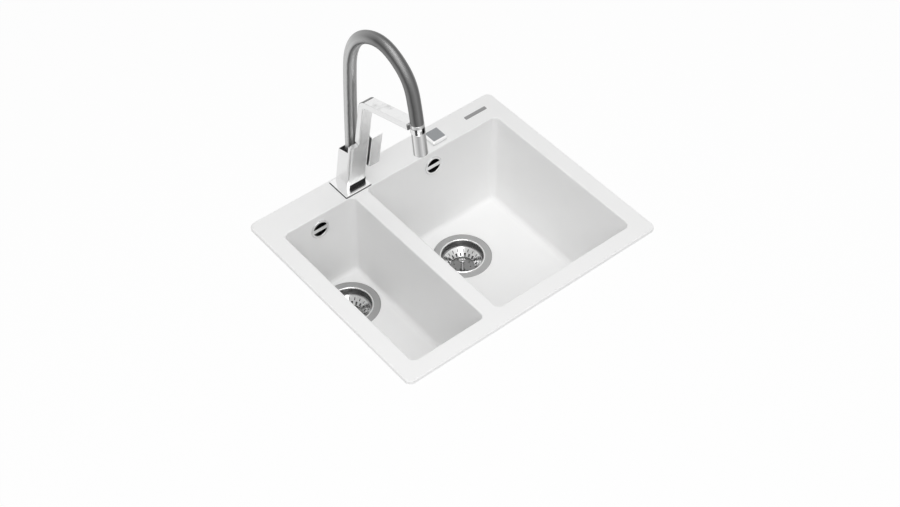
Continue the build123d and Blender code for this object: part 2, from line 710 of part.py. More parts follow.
def valve_frame():
    """At the lever's centre line, with z along the valve outwards to the right."""
    return BODY_FRAME * Pos(0, 0, VALVE_HEIGHT) * Rot(0, 90, 0)


def arm_screw_frame(side):
    """On the body's front over the arm's tongue, with z out to the front."""
    return BODY_FRAME * Pos(ARM_SHIFT + side * ARM_W / 4, FRONT, BODY_TOP - TONGUE_L / 2) * Rot(90, 0, 0)


def tongue_block(clearance, low):
    """The arm's tongue inside the body, up to the arm's foot; its pocket is larger by the clearance."""
    front = FRONT + BODY_FRONT_WALL + FIT - clearance
    back = FRONT + BODY_FRONT_WALL + FIT + TONGUE_T + clearance
    half = TONGUE_W / 2 + clearance
    return block(ARM_SHIFT - half, ARM_SHIFT + half, front, back, low, BODY_TOP + ARM_REVEAL + OVER)


def make_tap_body():
    shell = block(-HALF_W, HALF_W, FRONT, -FRONT, FRONT, BODY_TOP)
    shell = fillet(shell.edges().filter_by(Axis.Z), BODY_CORNER_R)
    ridge = FRONT + BODY_RIDGE_T
    low = BODY_TOP - BODY_RIDGE_H
    half = HALF_W - BODY_WALL
    for front, z0, z1 in ((FRONT + BODY_FRONT_WALL, FRONT - OVER, low), (ridge, low - OVER, BODY_TOP + OVER)):
        hollow = block(-half, half, front, -FRONT - BODY_BACK_WALL, z0, z1)
        shell -= fillet(hollow.edges().filter_by(Axis.Z), BODY_CORNER_R - BODY_FRONT_WALL)
    shell -= tongue_block(FIT, low - OVER)
    back = -FRONT + OVER
    top = BODY_TOP + OVER
    slope = Polyline((ridge, top), (ridge, BODY_SIDE_TOP), (back, BODY_REAR_TOP), (back, top), close=True)
    shell -= Pos(-HALF_W - OVER, 0, 0) * extrude(Plane.YZ * make_face(slope), BODY_W + 2 * OVER)
    shell = leaning(shell) - valve_frame() * rod(CARTRIDGE_NUT_R + 2 * FIT, 0, HALF_W + OVER)
    shell -= foot_pocket(0)
    for side in (-1, 1):
        shell -= arm_screw_frame(side) * rod(ARM_SCREW_R + 0.5, -BODY_FRONT_WALL - OVER, -ARM_SKIN)
    return shell


def foot_pocket(clearance):
    """The low pocket across the body's front, level at its top; the insert is smaller by the clearance."""
    x0 = BODY_X - HALF_W + BODY_CORNER_R + clearance
    x1 = BODY_X + HALF_W - 1.2 - clearance
    back = BODY_FRONT_Y + FOOT_INSERT_T - clearance
    front = BODY_FRONT_Y + 0.6 if clearance else BODY_FRONT_Y - FOOT_INSERT_T
    top = BASE_TOP + FOOT_INSERT_H - clearance
    shift = math.tan(math.radians(LEAN)) * FOOT_INSERT_H
    foot = [(front, BASE_TOP), (back, BASE_TOP), (back - shift, top), (front - shift, top)]
    return Pos(x0, 0, 0) * extrude(Plane.YZ * make_face(Polyline(*foot, close=True)), x1 - x0)


def hose_start():
    return Plane(hose_points()[0], z_dir=hose_path() % 0)


def make_waterway():
    column = block(-VALVE_END, VALVE_END, FRONT + BODY_FRONT_WALL + LOOSE, -FRONT - BODY_BACK_WALL - LOOSE,
                   FRONT, BODY_TOP)
    column = leaning(fillet(column.edges().filter_by(Axis.Z), BODY_CORNER_R - BODY_FRONT_WALL))
    plane = hose_start()
    column -= plane * block(-REACH, REACH, -REACH, REACH, 0, REACH)
    column -= plane * rod(HOSE_BORE_R, -HOSE_SOCKET_SINK, OVER)
    column -= Pos(TAP_X, TAP_Y) * rod(SHANK_R + FIT, BASE_TOP - OVER, SHANK_TOP)
    column -= valve_frame() * rod(CARTRIDGE_R + FIT, VALVE_END - CARTRIDGE_L, HALF_W)
    for side in (-1, 1):
        inlet = rod(INLET_R, SHANK_TOP - OVER, SHANK_TOP + INLET_L)
        column -= Pos(TAP_X + side * INLET_OFFSET, TAP_Y) * inlet
    return column


def make_foot_insert():
    return foot_pocket(FIT * 1.5)


def make_cartridge():
    body = rod(CARTRIDGE_R, VALVE_END - CARTRIDGE_L, VALVE_END - 2.2)
    body += rod(CARTRIDGE_R - 2, VALVE_END - 3, VALVE_END - LOOSE)
    return valve_frame() * (body - rod(HUB_R + FIT, HALF_W - HUB_L - 0.8, HALF_W))


def make_cartridge_nut():
    return valve_frame() * ring(CARTRIDGE_NUT_R, HUB_R + 2 * FIT, VALVE_END, HALF_W)


def lever_pin(radius, half):
    """A rod across the hub, on the axis that the lever tilts about."""
    return valve_frame() * Pos(0, 0, HALF_W - LEVER_PIVOT_IN) * Rot(90, 0, 0) * rod(radius, -half, half)


def make_lever_hub():
    start = HALF_W - HUB_L
    slot = block(-5.4, 5.4, -LEVER_STEM_R - LOOSE, LEVER_STEM_R + LOOSE, start + OVER, HALF_W + OVER)
    return valve_frame() * (rod(HUB_R, start, HALF_W) - slot) - lever_pin(LEVER_PIN_R + FIT / 2, HUB_R)


def make_lever():
    inner = HALF_W + LEVER_GAP
    fin = block(inner, inner + LEVER_W, FRONT, FRONT + LEVER_T, LEVER_BOTTOM, LEVER_TOP)
    fin = fillet(fin.edges(), 0.8)
    cheek = block(inner, inner + LEVER_CHEEK_T, FRONT + LEVER_T - 3, 7, LEVER_BOTTOM + 0.5, LEVER_CHEEK_TOP)
    cheek = fillet(cheek.edges().filter_by(Axis.X), 2.5)
    stem = rod(LEVER_STEM_R, HALF_W - HUB_L + 2, inner + OVER)
    screw_hole = rod(LEVER_SCREW_R, inner + OVER, inner + LEVER_CHEEK_T + OVER)
    lever = BODY_FRAME * (fin + cheek) + valve_frame() * stem
    return lever - valve_frame() * screw_hole - lever_pin(LEVER_PIN_R + RUNNING, HUB_R)


def make_lever_screw():
    inner = HALF_W + LEVER_GAP
    screw = rod(LEVER_SCREW_R, inner + OVER, inner + LEVER_CHEEK_T - LOOSE)
    return valve_frame() * (screw - rod(0.9, inner + 2.4, inner + LEVER_CHEEK_T))


# ---- tap arm, dock and spray head ----------------------------------------------------------
DOCK_FRAME = Pos(DOCK_X, DOCK_Y, DOCK_Z) * Rot(-SPRAY_LEAN, 0, 0)


def arm_profile():
    """Side view of the bent bar, as (y, z): the front of the upright and the run's underside."""
    lean = math.tan(math.radians(LEAN))
    rise = math.tan(math.radians(RUN_RISE))
    foot = (BODY_FRAME * Pos(0, FRONT, BODY_TOP + ARM_REVEAL)).position
    elbow_y = BODY_FRONT_Y - lean * (ELBOW_Z - BASE_TOP)
    end_y = DOCK_Y + DOCK_SLOT_R
    end_z = ELBOW_Z + (elbow_y - end_y) * rise
    lower = FilletPolyline((foot.Y, foot.Z), (elbow_y, ELBOW_Z), (end_y, end_z), radius=ELBOW_R)
    up = Vector(-math.sin(math.radians(LEAN)), math.cos(math.radians(LEAN)))
    back = Vector(up.Y, -up.X) * ARM_T
    over = Vector(math.sin(math.radians(RUN_RISE)), math.cos(math.radians(RUN_RISE))) * ARM_T
    middle = math.radians(90 - LEAN - RUN_RISE)
    corner = Vector(elbow_y, ELBOW_Z) + (back + over) * (1 / (1 + math.cos(middle)))
    upper = FilletPolyline((foot.Y + back.X, foot.Z + back.Y), (corner.X, corner.Y),
                           (end_y + over.X, end_z + over.Y), radius=ELBOW_R + ARM_T)
    return lower, upper


def make_arm():
    lower, upper = arm_profile()
    ends = Line(lower @ 0, upper @ 0) + Line(lower @ 1, upper @ 1)
    bar = Pos(ARM_X - ARM_W / 2, 0, 0) * extrude(Plane.YZ * make_face(lower + upper + ends), ARM_W)
    bar = fillet(bar.edges().filter_by(lambda edge: edge.length > 10 and abs((edge % 0.5).X) < 0.01
                                       and edge.center().Y > DOCK_Y + DOCK_R + ARM_W / 2), ARM_EDGE_R)
    bar -= DOCK_FRAME * rod(DOCK_SLOT_R, -2 * DOCK_H, 2 * DOCK_H)
    bar -= DOCK_FRAME * rod(END_NUT_R + LOOSE, DOCK_H / 2, 2 * DOCK_H)
    bar -= DOCK_FRAME * rod(SPRAY_R + 2 * LOOSE, -2 * DOCK_H, -DOCK_H / 2)
    ring_end = rod(DOCK_R, -DOCK_H / 2, DOCK_H / 2) - rod(DOCK_SLOT_R, -DOCK_H, DOCK_H)
    ring_end -= block(-DOCK_SLOT_R, DOCK_SLOT_R, -REACH, 0, -DOCK_H, DOCK_H)
    ring_end -= block(-REACH, REACH, -REACH, -DOCK_TIP, -DOCK_H, DOCK_H)
    arm = bar + DOCK_FRAME * ring_end + BODY_FRAME * tongue_block(0, BODY_TOP - TONGUE_L)
    for side in (-1, 1):
        arm -= arm_screw_frame(side) * rod(ARM_SCREW_R + FIT / 2, -BODY_FRONT_WALL - 6, 0)
    return arm


def make_arm_screws():
    """Two headless screws behind the body's front, into the arm's tongue."""
    screw = rod(ARM_SCREW_R, -BODY_FRONT_WALL - 5.5, -ARM_SKIN - 2 * FIT)
    return [arm_screw_frame(side) * screw for side in (-1, 1)]


def make_dock_clip():
    outer = DOCK_SLOT_R - FIT
    half = DOCK_H / 2 - 0.6
    clip = rod(outer, -half, half) + block(-outer, outer, -DOCK_TIP - 1.6, 0, -half, half)
    clip -= rod(CLIP_INNER_R, -DOCK_H, DOCK_H)
    return DOCK_FRAME * (clip - block(-CLIP_INNER_R, CLIP_INNER_R, -REACH, 0, -DOCK_H, DOCK_H))


def make_spray_spigot():
    half = DOCK_H / 2 + DOCK_GAP
    end = -NECK_END - NECK_HEAD_T
    spigot = rod(NECK_R, -NECK_END, half) + rod(NECK_R + 2, end, -NECK_END)
    return DOCK_FRAME * (spigot - rod(SPIGOT_BORE_R, end - OVER, half + OVER))


def make_end_nut():
    low = DOCK_H / 2 + DOCK_GAP
    top = low + END_NUT_H
    return DOCK_FRAME * turned(
        (SPIGOT_BORE_R, low), (END_NUT_R - 0.6, low), (END_NUT_R, low + 0.6), (END_NUT_R, top - 0.6),
        (END_NUT_R - 0.6, top), (SPIGOT_BORE_R, top),
    )


def make_spray_shell():
    top = -DOCK_H / 2 - DOCK_GAP
    inner = SPRAY_R - SPRAY_WALL
    seat = 0.5 - NECK_END
    shell = turned(
        (NECK_R + RUNNING, top), (SPRAY_R - 0.8, top), (SPRAY_R, top - 0.8), (SPRAY_R + 0.4, -SPRAY_END + 1),
        (SPRAY_R - 0.4, -SPRAY_END), (inner, -SPRAY_END), (inner, seat), (NECK_R + RUNNING, seat),
    )
    return DOCK_FRAME * shell


def make_spray_face():
    outer = SPRAY_R - SPRAY_WALL - FIT
    face = rod(outer, -SPRAY_END + 1.2, -SPRAY_END + 12) - rod(outer - 2, -SPRAY_END + 4, -SPRAY_END + 13)
    for radius, count in ((0, 1), (3.4, 6), (6.6, 12)):
        for step in range(count):
            face -= Rot(0, 0, step * 360 / count) * Pos(radius, 0) * rod(0.7, -SPRAY_END, -SPRAY_END + 5)
    return DOCK_FRAME * face


# ---- tap hose ------------------------------------------------------------------------------
def hose_points():
    """The route rises from the body, arches over and drops into the spray head's nut."""
    last = (DOCK_FRAME * Pos(0, 0, DOCK_H / 2 + DOCK_GAP + END_NUT_H)).position
    before = (DOCK_FRAME * Pos(0, 0, DOCK_H / 2 + DOCK_GAP + END_NUT_H + HOSE_LAST_RUN)).position
    start = HOSE_ROUTE[0][0]
    points = []
    for forward, height in HOSE_ROUTE:
        share = (forward - start) / (TAP_Y - last.Y - start)
        x = HOSE_BASE_X + share * (DOCK_X - HOSE_BASE_X)
        points.append(Vector(x, TAP_Y - forward, BASE_TOP + height))
    return points + [before, last]


def corner_radii(points):
    """The largest arc that each corner's two runs allow."""
    radii = []
    for one, two, three in zip(points, points[1:], points[2:]):
        turn = (two - one).get_angle(three - two)
        run = min((two - one).length, (three - two).length)
        radii.append(HOSE_ARC * run / math.tan(math.radians(turn / 2)))
    return radii


def hose_path():
    points = hose_points()
    return FilletPolyline(*points, radius=corner_radii(points))


def make_hose():
    path = hose_path()
    start = Plane(path @ 0, z_dir=path % 0)
    tube = sweep(start * (Circle(HOSE_R) - Circle(HOSE_BORE_R)), path=path)
    area = math.pi * (HOSE_R ** 2 - HOSE_BORE_R ** 2)
    radii = [round(radius, 1) for radius in corner_radii(hose_points())]
    share = round(tube.volume / (area * path.length), 4)
    print("spray hose: length", round(path.length, 1), "radii", radii, "volume share", share)
    return tube


def make_hose_socket():
    return hose_start() * ring(HOSE_SOCKET_R, HOSE_R + FIT, 0, HOSE_SOCKET_H)


# ---- tap fixing ----------------------------------------------------------------------------
def make_shank():
    return Pos(TAP_X, TAP_Y) * ring(SHANK_R, SHANK_BORE_R, SHANK_END, SHANK_TOP)


def clamp_shape(low, high):
    plate = block(-CLAMP_W / 2, CLAMP_W / 2, -CLAMP_D / 2, CLAMP_D / 2, low, high)
    plate = fillet(plate.edges().filter_by(Axis.Z), CLAMP_CORNER_R)
    return Pos(TAP_X, TAP_Y) * (plate - rod(SHANK_R + LOOSE, low - OVER, high + OVER))


def make_tap_nut():
    top = RIM_UNDER - TAP_WASHER_T - CLAMP_T
    nut = hexagon(TAP_NUT_AF, top - TAP_NUT_T, top)
    return Pos(TAP_X, TAP_Y) * (nut - rod(SHANK_R + FIT, top - TAP_NUT_T - OVER, top + OVER))


def main():
    os.makedirs("parts", exist_ok=True)
    save("basin", make_basin())
    save("rim_seal", make_rim_seal())
    save("fixing_clips", *[frame * make_clip() for frame in clip_frames()])
    save("clip_screws", *[frame * make_clip_screw() for frame in clip_frames()])
    save("clip_inserts", *[frame * make_clip_insert() for frame in clip_frames()])
    save("corner_plate", make_corner_plate())
    for name, bowl in BOWLS.items():
        wall = bowl.overflow_plane()
        save("overflow_face_" + name, wall * make_overflow_face())
        save("overflow_housing_" + name, wall * make_overflow_housing())
        save("overflow_hose_" + name, make_ribbed_hose(bowl))
        waste = bowl.waste_frame()
        save("waste_flange_" + name, waste * make_flange())
        save("waste_body_" + name, waste * make_waste_body(popup=name == "large"))
        save("basket_" + name, waste * make_basket())
        save("basket_seal_" + name, waste * make_basket_seal())
    flange_seal = ring(FLANGE_R - 1, CUP_R + CUP_WALL + 1, -FLANGE_T - FLANGE_SEAL_T, -FLANGE_T)
    washer = ring(WASHER_R, CUP_R + CUP_WALL + 0.3, -WALL - WASHER_T, -WALL)
    save("overflow_seals", *[bowl.overflow_plane() * make_overflow_seal() for bowl in BOWLS.values()])
    save("flange_seals", *[bowl.waste_frame() * flange_seal for bowl in BOWLS.values()])
    save("waste_washers", *[bowl.waste_frame() * washer for bowl in BOWLS.values()])
    save("waste_nuts", *[bowl.waste_frame() * make_waste_nut() for bowl in BOWLS.values()])

    waste = LARGE.waste_frame()
    save("lift_pin", waste * make_lift_pin())
    save("popup_rocker", waste * make_rocker())
    save("cable_box", waste * make_cable_box())
    save("popup_cable", make_cable())

    knob = Pos(KNOB_X, KNOB_Y)
    save("knob", knob * make_knob())
    save("knob_cap", knob * make_knob_cap())
    save("knob_shaft", knob * make_knob_shaft())
    save("knob_bushing", knob * make_knob_bushing())
    nut_top = RIM_UNDER - KNOB_WASHER_T
    save("knob_washer", knob * ring(10.0, BUSHING_R + 2 * FIT, nut_top, RIM_UNDER))
    nut = hexagon(KNOB_NUT_AF, nut_top - KNOB_NUT_T, nut_top) - rod(BUSHING_R + FIT, -REACH, RIM_TOP)
    save("knob_nut", knob * nut)
    save("knob_cable_box", knob * make_knob_box())

    save("tap_base_plate", make_base_plate())
    save("tap_base_gasket", make_base_gasket())
    save("tap_body", make_tap_body())
    save("tap_foot_insert", make_foot_insert())
    save("tap_waterway", make_waterway())
    save("cartridge", make_cartridge())
    save("cartridge_nut", make_cartridge_nut())
    save("lever_hub", make_lever_hub())
    save("lever", make_lever())
    save("lever_pin", lever_pin(LEVER_PIN_R, HUB_R - 0.8))
    save("lever_screw", make_lever_screw())
    save("tap_arm", make_arm())
    save("arm_screws", *make_arm_screws())
    save("dock_clip", make_dock_clip())
    save("spray_spigot", make_spray_spigot())
    save("hose_end_nut", make_end_nut())
    save("spray_shell", make_spray_shell())
    save("spray_face", make_spray_face())
    save("spray_hose", make_hose())
    save("hose_socket", make_hose_socket())
    save("tap_shank", make_shank())
    washer_end = RIM_UNDER - TAP_WASHER_T
    save("tap_washer", clamp_shape(washer_end, RIM_UNDER))
    save("tap_clamp_plate", clamp_shape(washer_end - CLAMP_T, washer_end))
    save("tap_nut", make_tap_nut())


if __name__ == "__main__":
    main()
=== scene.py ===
"""Looks of the double bowl sink: camera, pale floor with the cut-out, soft light, finishes, detail.

Lengths are in metres. A tone is a linear share of white, and a list of tones pairs places on a
ramp with the tones there. Noise scales are per metre.
"""
import math

import bmesh
import bpy
from mathutils import Matrix, Vector


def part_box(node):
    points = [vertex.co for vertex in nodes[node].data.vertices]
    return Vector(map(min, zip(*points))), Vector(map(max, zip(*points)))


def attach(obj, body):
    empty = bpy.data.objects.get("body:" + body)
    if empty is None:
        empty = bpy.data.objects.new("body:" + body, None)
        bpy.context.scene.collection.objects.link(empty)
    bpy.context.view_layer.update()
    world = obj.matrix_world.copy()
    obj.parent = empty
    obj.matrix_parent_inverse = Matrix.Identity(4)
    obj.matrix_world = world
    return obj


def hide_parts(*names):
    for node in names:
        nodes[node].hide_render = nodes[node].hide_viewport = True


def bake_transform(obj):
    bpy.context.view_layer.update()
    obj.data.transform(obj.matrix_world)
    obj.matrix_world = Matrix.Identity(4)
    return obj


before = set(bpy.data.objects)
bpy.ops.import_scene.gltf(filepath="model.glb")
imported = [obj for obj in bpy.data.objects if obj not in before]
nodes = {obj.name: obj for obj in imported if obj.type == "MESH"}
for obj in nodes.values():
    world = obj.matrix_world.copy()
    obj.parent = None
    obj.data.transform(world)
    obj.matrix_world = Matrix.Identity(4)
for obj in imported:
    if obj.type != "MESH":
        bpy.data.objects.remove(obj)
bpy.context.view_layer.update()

# ---- camera --------------------------------------------------------------------------------
CAMERA_AT = Vector((-1.26933, -1.57087, 2.12007))
CAMERA_FORWARD = Vector((0.42566, 0.528906, -0.734215))
CAMERA_ROLL = math.radians(-0.425)
CAMERA_LENS = 65.59
CAMERA_SENSOR = 36.0
CAMERA_CLIP = (0.05, 60.0)

# ---- light and floor -----------------------------------------------------------------------
WHITE = (1.0, 1.0, 1.0, 1.0)
WORLD_LEVEL = 0.42
# name, place, width and watts; each lamp aims at the origin
LAMPS = (("overhead", Vector((0.1, -0.2, 2.6)), 1.6, 18.5),
         ("key", Vector((-1.3, -1.5, 2.3)), 2.6, 32.0))
FLOOR_Z = -0.0002
FLOOR_HALF = 6.0
FLOOR_COLOUR = (0.90, 0.90, 0.90, 1.0)
FLOOR_ROUGHNESS = 0.9
# share of pure white in what the camera and mirrors see of the floor
FLOOR_GLOW = 0.94
CUTOUT_INSET = 0.010
CUTOUT_CORNER = 0.010

# ---- spray head and hose, as in the frame ----------------------------------------------------
DOCK = Vector((-0.0626, 0.0108, 0.2725))
SPRAY_LEAN = math.radians(7.07)
SPRAY_AXIS = Vector((0, math.sin(SPRAY_LEAN), math.cos(SPRAY_LEAN)))
NUT_TOP = 0.01225
# the hose's given points: its foot, then y and z up over the arch, then its head on the nut
HOSE_FOOT = Vector((-0.072, 0.1946, 0.0946))
HOSE_SIDE = ((0.1946, 0.0946), (0.1871, 0.2891), (0.1762, 0.3476), (0.1483, 0.3872),
             (0.1023, 0.4072), (0.0632, 0.3972), (0.0261, 0.364))
HOSE_HEAD = DOCK + SPRAY_AXIS * NUT_TOP
HOSE_LAST_RUN = 0.020
HOSE_RADIUS = 0.0117
HOSE_SIDES = 48
HOSE_PITCH = 0.0022
HOSE_GROOVE = 0.00018
# how full the groove is at each ring of one turn
HOSE_WAVE = (0.0, 0.7, 1.0, 0.7)
SPLINE_RESOLUTION = 24
ROUND = "round"

# ---- tap body and lever, as in the frame; the corners of the dark liner, painted shade in the gap, are in the leaning body's axes -----
BODY_FOOT = (-0.07175, 0.2063, 0.012)
BODY_LEAN = math.radians(10.5)
BODY_FRAME = Matrix.Translation(BODY_FOOT) @ Matrix.Rotation(BODY_LEAN, 4, "X")
LEVER_INNER = 0.02475
LEVER_FRONT = -0.01893
LEVER_BOTTOM = 0.0396
LEVER_TOP = 0.1232
LINER_LOW = Vector((LEVER_INNER - 0.0003, LEVER_FRONT + 0.0022, LEVER_BOTTOM + 0.002))
LINER_HIGH = Vector((LEVER_INNER + 0.0002, LEVER_FRONT + 0.0082, LEVER_TOP - 0.002))
LINER_BEVEL = 0.0002

# ---- lips and thread -----------------------------------------------------------------------
LATHE_SIDES = 96
CORNER_STEPS = 6
LIP_R = 0.0424
LIP_HALF_W = 0.0016
LIP_HALF_H = 0.0011
LIP_DROP = 0.0001
LIP_STEPS = 12
BASE_LIP_Z = 0.00805
BASE_LIP_CORNER = 0.0012
# the section's corners: how far out from the base plate, and how far up
BASE_LIP_SECTION = ((0.0, 0.0), (0.0009, 0.0), (0.0009, 0.0009), (0.0, 0.0012))
THREAD_PITCH = 0.0015
THREAD_START = 0.0006
# the thread's inside, root and crest, each against the shank's radius
THREAD_INSIDE = -0.0004
THREAD_ROOT = 0.0001
THREAD_CREST = 0.0006

# ---- finishes ------------------------------------------------------------------------------
METAL_RELIEF = 0.0001
GRAIN_RELIEF = 0.0002
HAZE_SCALE = 35.0
POLISH_SCALE = 420.0
POLISH_STRETCH = (0.15, 1.0, 1.0)
POLISH_BUMP = 0.006
CHROME_HAZE = 0.03
CHROME_GLOSS = (0.85, 1.2)
BRUSH_SCALE = 2600.0
BRUSH_STRETCH = (0.04, 1.0, 1.0)
BRUSH_BUMP = 0.10
BRUSH_CLOUD_SCALE = 30.0
BRUSH_LINES_SHARE = 0.7
BRUSH_TONES = ((0.0, 0.258), (1.0, 0.336))
BRUSH_ROUGHNESS = (0.26, 0.40)

STONE_SCALE = 1400.0
STONE_CLOUD_SCALE = 14.0
STONE_GRAIN_SHARE = 0.6
STONE_COLOURS = ((0.25, (0.91, 0.91, 0.908)), (0.6, (0.94, 0.94, 0.937)),
                 (0.8, (0.955, 0.955, 0.953)))
STONE_ROUGHNESS = (0.42, 0.62)
STONE_BUMP = 0.12
STONE_SPECULAR = 0.35

PLAIN_SCALE = 700.0
PLAIN_SPREAD = 0.06
PLAIN_STOPS = (0.3, 0.7)
PLAIN_GLOSS = (-0.05, 0.08)
PLAIN_BUMP = 0.06

# painted reflections round the spray head: bright and dark bands, from its minus x side
SPRAY_PAINTED_REFLECTIONS = ((0.0, 0.45), (0.03, 0.82), (0.085, 0.56), (0.134, 0.38), (0.17, 0.48), (0.21, 0.66),
               (0.262, 0.45), (0.304, 0.30), (0.38, 0.45), (0.55, 0.75), (0.72, 0.45), (0.86, 0.62),
               (0.95, 0.62), (0.98, 0.34))
SPRAY_HAZE = 0.006
SPRAY_ROUGHNESS = (0.10, 0.16)

# painted reflection on the arm, by how far the surface looks to the back: dark across the outside
# of the bend
ARM_PAINTED_REFLECTIONS = ((0.0, 0.82), (0.295, 0.84), (0.31, 0.13), (0.72, 0.16), (0.90, 0.80))
ARM_HAZE = 0.02
ARM_ROUGHNESS = (0.18, 0.26)

# painted shade and reflection by how far the surface looks up: the flange's cup wall darker, the
# basket's floor darker and its sides bright
FLANGE_PAINTED_SHADE_TONES = ((0.0, 0.22), (0.35, 0.26), (0.6, 0.42), (1.0, 0.43))
FLANGE_HAZE = 0.03
FLANGE_ROUGHNESS = (0.22, 0.58)
FLANGE_METALLIC = 0.7
BASKET_PAINTED_REFLECTIONS = ((0.0, 0.70), (0.5, 0.95), (0.90, 0.92), (0.97, 0.30))
BASKET_SCALE = 500.0
BASKET_HAZE = 0.02
BASKET_ROUGHNESS = (0.10, 0.22)

# painted reflections round the hose: on its rising leg, on its falling leg, which is also painted
# darker as shade, and where along it the one gives way
HOSE_RISING_PAINTED_REFLECTIONS = ((0.0, 0.60), (0.06, 0.55), (0.10, 0.10), (0.14, 0.30), (0.18, 0.55),
                     (0.22, 0.36), (0.40, 0.40), (0.60, 0.25), (0.78, 0.32), (0.90, 0.55))
HOSE_FALLING_PAINTED_SHADE = ((0.0, 0.24), (0.05, 0.13), (0.30, 0.24), (0.60, 0.12), (0.66, 0.20),
                      (0.71, 0.11), (0.80, 0.20), (0.87, 0.13), (0.91, 0.08), (0.97, 0.22))
HOSE_CHANGE = (0.52, 0.68)
HOSE_SCALE = 900.0
HOSE_CLOUD_SCALE = 60.0
HOSE_HAZE = 0.012
HOSE_ROUGHNESS = (0.34, 0.46)
HOSE_BUMP = 0.05


# ---- node trees ----------------------------------------------------------------------------
class Nodes:
    """A node tree under construction: most calls add a node and return its output."""

    def __init__(self, tree):
        self.tree = tree

    def add(self, kind, inputs=None, **settings):
        node = self.tree.nodes.new(kind)
        for key, value in settings.items():
            setattr(node, key, value)
        self.fill(node, inputs or {})
        return node

    def fill(self, node, inputs):
        """Sets a node's inputs, or links them where the value is another node's output."""
        for key, value in inputs.items():
            if isinstance(value, bpy.types.NodeSocket):
                self.tree.links.new(value, node.inputs[key])
            else:
                node.inputs[key].default_value = value

    def calc(self, operation, one, two):
        return self.add("ShaderNodeMath", {0: one, 1: two}, operation=operation).outputs[0]

    def mix_shader(self, share, one, two):
        return self.add("ShaderNodeMixShader", {0: share, 1: one, 2: two}).outputs["Shader"]

    def seen(self):
        """One for a ray from the camera, a mirror or a pane, and nought for any other light."""
        path = self.add("ShaderNodeLightPath").outputs
        either = self.calc("MAXIMUM", path["Is Camera Ray"], path["Is Glossy Ray"])
        return self.calc("MAXIMUM", either, path["Is Transmission Ray"])


class Material(Nodes):
    """A Principled material under construction, in its object's own coordinates."""

    def __init__(self, name):
        self.material = bpy.data.materials.new(name)
        self.material.use_nodes = True
        super().__init__(self.material.node_tree)
        self.shader = self.tree.nodes["Principled BSDF"]
        self.place = self.add("ShaderNodeTexCoord").outputs["Object"]

    def stretched(self, scale):
        node = self.add("ShaderNodeMapping", {"Vector": self.place, "Scale": scale})
        return node.outputs["Vector"]

    def noise(self, scale, detail=3.0, rough=0.5, place=None):
        node = self.add("ShaderNodeTexNoise", {"Vector": place or self.place, "Scale": scale,
                                               "Detail": detail, "Roughness": rough})
        return node.outputs["Fac"]

    def brush_lines(self):
        return self.noise(BRUSH_SCALE, rough=0.6, place=self.stretched(BRUSH_STRETCH))

    def spread(self, value, low, high, start=0.0, end=1.0):
        """The value's run from start to end, laid over the run from low to high."""
        node = self.add("ShaderNodeMapRange", {"Value": value, "From Min": start, "From Max": end,
                                               "To Min": low, "To Max": high})
        return node.outputs["Result"]

    def mixed(self, one, two, share):
        """The given share of one noise and the rest of another."""
        return self.calc("ADD", self.spread(one, 0.0, share), self.spread(two, 0.0, 1.0 - share))

    def shaken(self, value, noise, width):
        """The value, moved to and fro by the noise."""
        return self.calc("ADD", value, self.spread(noise, -width, width))

    def ramp(self, value, stops):
        node = self.add("ShaderNodeValToRGB", {"Fac": value})
        elements = node.color_ramp.elements
        while len(elements) < len(stops):
            elements.new(0.5)
        for element, (spot, colour) in zip(elements, stops):
            element.position = spot
            element.color = (*colour, 1.0)
        return node.outputs["Color"]

    def tones(self, value, stops):
        return self.ramp(value, [(spot, (tone,) * 3) for spot, tone in stops])

    def split(self, vector):
        return self.add("ShaderNodeSeparateXYZ", {0: vector}).outputs

    def turn(self, vector):
        """How far round the z axis a place lies, as a share of a turn from the minus x side."""
        parts = self.split(vector)
        angle = self.calc("ARCTAN2", parts["Y"], parts["X"])
        return self.spread(angle, 0.0, 1.0, -math.pi, math.pi)

    def facing(self, axis):
        """How far the surface looks along one axis of the room, from minus one to one."""
        return self.split(self.add("ShaderNodeNewGeometry").outputs["Normal"])[axis]

    def bump(self, height, strength, distance):
        node = self.add("ShaderNodeBump", {"Height": height, "Strength": strength,
                                           "Distance": distance})
        self.fill(self.shader, {"Normal": node.outputs["Normal"]})

    def finish(self, colour, rough, metallic=0.0, specular=0.5):
        self.fill(self.shader, {"Base Color": colour, "Roughness": rough, "Metallic": metallic,
                                "Specular IOR Level": specular})
        return self.material


# ---- materials -----------------------------------------------------------------------------
def composite():
    """Fine matt white stone composite."""
    m = Material("white_composite")
    grain = m.noise(STONE_SCALE, detail=4.0, rough=0.65)
    cloud = m.noise(STONE_CLOUD_SCALE, detail=2.0)
    m.bump(grain, STONE_BUMP, GRAIN_RELIEF)
    return m.finish(m.ramp(m.mixed(grain, cloud, STONE_GRAIN_SHARE), STONE_COLOURS),
                    m.spread(grain, *STONE_ROUGHNESS), specular=STONE_SPECULAR)


def chrome(name, level, rough):
    """Plated metal: faint haze in its tone and gloss, and very fine polishing lines."""
    m = Material(name)
    haze = m.noise(HAZE_SCALE)
    lines = m.noise(POLISH_SCALE, detail=2.0, place=m.stretched(POLISH_STRETCH))
    m.bump(lines, POLISH_BUMP, METAL_RELIEF)
    smooth, dull = CHROME_GLOSS
    return m.finish(m.tones(haze, ((0.0, level - CHROME_HAZE), (1.0, level + CHROME_HAZE))),
                    m.spread(haze, rough * smooth, rough * dull), metallic=1.0)


def spray_chrome_painted_reflections():
    """Polished spray head and nut, with bright and dark bands painted round the spray axis as
    reflections.
    """
    m = Material("spray_chrome_painted_reflections")
    own = m.add("ShaderNodeMapping", {"Vector": m.place, "Location": DOCK,
                                      "Rotation": (-SPRAY_LEAN, 0, 0)}, vector_type="TEXTURE")
    haze = m.noise(HAZE_SCALE)
    turn = m.shaken(m.turn(own.outputs["Vector"]), haze, SPRAY_HAZE)
    return m.finish(m.tones(turn, SPRAY_PAINTED_REFLECTIONS), m.spread(haze, *SPRAY_ROUGHNESS), metallic=1.0)


